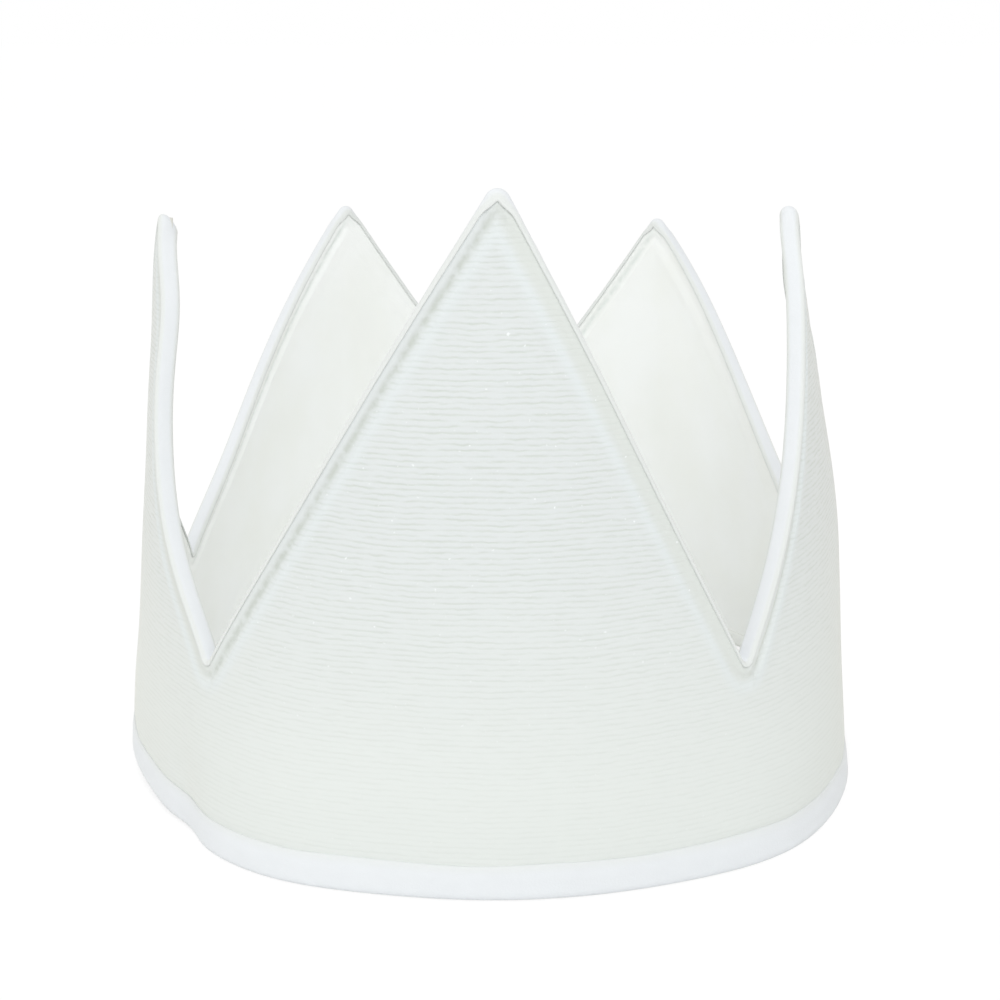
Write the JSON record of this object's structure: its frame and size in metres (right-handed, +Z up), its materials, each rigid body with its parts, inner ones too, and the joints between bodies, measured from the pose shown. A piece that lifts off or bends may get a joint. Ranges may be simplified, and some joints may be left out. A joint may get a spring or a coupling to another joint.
{
  "type": "cloth play crown",
  "caption": "Soft ring crown for dressing up: tall triangular points on a plain oval band of ribbed cloth, with a padded wall, bound edges and a smooth hem.",
  "frame": {"origin": "on the floor that the rim stands on, in the middle of the oval ring", "axes": "+Z up through the open ring, -Y towards the tallest point in front, +X to the right seen from the front"},
  "size_m": [0.158, 0.188, 0.1259],
  "materials": {
    "ribbed_cloth": "ivory cloth with fine ribs that run level round the crown, faint sheen",
    "felt": "white needled felt, unseen inside the wall",
    "lining_cloth": "smooth plain-woven ivory cotton, softly wrinkled",
    "strip_cloth": "smooth cool white cotton strip, folded and stitched"
  },
  "bodies": {
    "root": {"outer_cover": "ribbed_cloth", "interlining": "felt", "inner_lining": "lining_cloth", "edge_strip": "strip_cloth", "hem_strip": "strip_cloth"}
  },
  "joints": []
}
